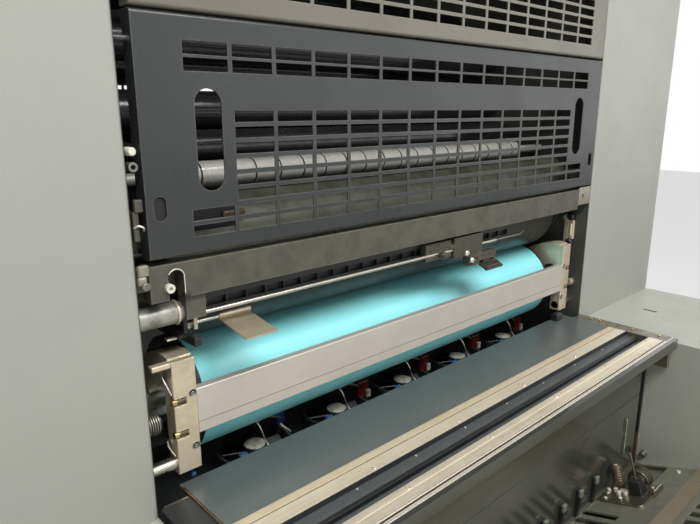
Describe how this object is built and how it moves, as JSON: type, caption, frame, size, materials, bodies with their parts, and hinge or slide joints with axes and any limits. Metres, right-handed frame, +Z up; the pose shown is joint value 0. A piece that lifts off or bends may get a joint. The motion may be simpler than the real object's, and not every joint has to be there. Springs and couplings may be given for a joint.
{
  "type": "offset printing press unit",
  "caption": "Printing unit of a sheet-fed offset press: grilled swing guard over a blanket cylinder, nip guard, tray and fans between tall side housings.",
  "frame": {"origin": "centre of the footprint, at floor level", "axes": "+X to the right across the press, +Y back from the guard side, +Z up"},
  "size_m": [2.114, 1.44, 2.12],
  "materials": {
    "bed_paint": "matt grey machine paint",
    "foot_steel": "turned, oiled",
    "frame_paint": "satin grey-green machine paint on cast iron",
    "cover_paint": "fine satin grey-green powder coat",
    "shelf_paint": "fine satin grey powder coat",
    "guard_paint": "fine textured anthracite powder coat",
    "beam_cast": "rough dark casting with thin paint",
    "white_plastic": "turned nylon",
    "black_plastic": "moulded",
    "bright_steel": "ground",
    "pipe_steel": "drawn, dull",
    "cylinder_steel": "ground",
    "black_steel": "blackened",
    "blanket_rubber": "smooth satin rubber",
    "plate_aluminium": "grained printing plate",
    "shell_paint": "satin pale grey-green",
    "roller_chrome": "polished",
    "ink_rubber": "glossy with ink",
    "bar_aluminium": "brushed along its length",
    "arm_nickel": "satin nickel on a casting",
    "tray_anodised": "blue-grey anodised",
    "rail_aluminium": "worn warm aluminium",
    "tray_paint": "glossy dark grey paint",
    "deck_steel": "dull rolled sheet",
    "dark_bronze": "dark bronze finish"
  },
  "bodies": {
    "press": {"base_frame": "bed_paint", "levelling_feet": "foot_steel", "left_side_frame": "frame_paint", "right_side_frame": "frame_paint", "left_upper_cover": "cover_paint", "right_upper_cover": "cover_paint", "left_lower_cover": "shelf_paint", "right_lower_cover": "shelf_paint", "roof_cover": "shelf_paint", "upper_guard": "guard_paint", "top_guard": "guard_paint", "rear_guard": "guard_paint", "rear_panel": "shelf_paint", "cross_beam": "beam_cast", "beam_ring_roller": "white_plastic", "blower_strip": "black_plastic", "guide_rods": "bright_steel", "support_pipe": "pipe_steel", "stop_finger": "black_plastic", "plate_guide_shell": "shell_paint", "hidden_rollers": "ink_rubber", "frame_link": "arm_nickel", "tray_plate": "tray_anodised", "tray_end_frames": "arm_nickel", "tray_rails": "rail_aluminium", "tray_step": "black_steel", "tray_box": "tray_paint", "fan_shelf": "black_plastic", "guide_deck": "deck_steel", "sheet_fingers": "black_plastic", "gripper_clamp": "dark_bronze", "front_cross_bar": "rail_aluminium", "sensor_clamp": "dark_bronze", "lifter_plate": "shell_paint"},
    "swing_guard": {"main_guard": "guard_paint"},
    "blanket_roll": {"blanket_cylinder": "cylinder_steel", "bearer_rings": "black_steel", "blanket": "blanket_rubber"},
    "plate_roll": {"plate_cylinder": "plate_aluminium"},
    "chrome_roll": {"chrome_roller": "roller_chrome"},
    "ink_roll": {"ink_roller": "ink_rubber"},
    "nip_guard": {"nip_guard_bar": "bar_aluminium", "nip_guard_arms": "arm_nickel", "nip_guard_shaft": "bright_steel"},
    "fan_rotor_1": {"fan_rotor_1": "black_plastic"},
    "fan_rotor_2": {"fan_rotor_2": "black_plastic"},
    "fan_rotor_3": {"fan_rotor_3": "black_plastic"},
    "fan_rotor_4": {"fan_rotor_4": "black_plastic"},
    "fan_rotor_5": {"fan_rotor_5": "black_plastic"}
  },
  "joints": [
    {"name": "guard_swing", "type": "hinge", "parent": "press", "child": "swing_guard", "pos_m": [0, -0.15, 1.4436], "axis": [-1, 0, 0], "range_deg": [0, 80]},
    {"name": "blanket_turn", "type": "hinge", "parent": "press", "child": "blanket_roll", "pos_m": [0, -0.01, 0.905], "axis": [1, 0, 0], "continuous": true},
    {"name": "plate_turn", "type": "hinge", "parent": "press", "child": "plate_roll", "pos_m": [0, -0.01, 1.1016], "axis": [1, 0, 0], "continuous": true},
    {"name": "chrome_turn", "type": "hinge", "parent": "press", "child": "chrome_roll", "pos_m": [0, 0, 1.26], "axis": [1, 0, 0], "continuous": true},
    {"name": "ink_turn", "type": "hinge", "parent": "press", "child": "ink_roll", "pos_m": [0, 0.068, 1.298], "axis": [1, 0, 0], "continuous": true},
    {"name": "nip_guard_swing", "type": "hinge", "parent": "press", "child": "nip_guard", "pos_m": [0, -0.121, 0.848], "axis": [1, 0, 0], "range_deg": [0, 80]},
    {"name": "fan_turn_1", "type": "hinge", "parent": "press", "child": "fan_rotor_1", "pos_m": [-0.388, -0.053, 0.731], "axis": [0, 0, 1], "continuous": true},
    {"name": "fan_turn_2", "type": "hinge", "parent": "press", "child": "fan_rotor_2", "pos_m": [-0.191, -0.053, 0.731], "axis": [0, 0, 1], "continuous": true},
    {"name": "fan_turn_3", "type": "hinge", "parent": "press", "child": "fan_rotor_3", "pos_m": [0.006, -0.053, 0.731], "axis": [0, 0, 1], "continuous": true},
    {"name": "fan_turn_4", "type": "hinge", "parent": "press", "child": "fan_rotor_4", "pos_m": [0.203, -0.053, 0.731], "axis": [0, 0, 1], "continuous": true},
    {"name": "fan_turn_5", "type": "hinge", "parent": "press", "child": "fan_rotor_5", "pos_m": [0.4, -0.053, 0.731], "axis": [0, 0, 1], "continuous": true}
  ],
  "couplings": [
    {"joint": "plate_turn", "follows": "blanket_turn", "ratio": -1},
    {"joint": "chrome_turn", "follows": "blanket_turn", "ratio": 4},
    {"joint": "ink_turn", "follows": "blanket_turn", "ratio": -3}
  ]
}
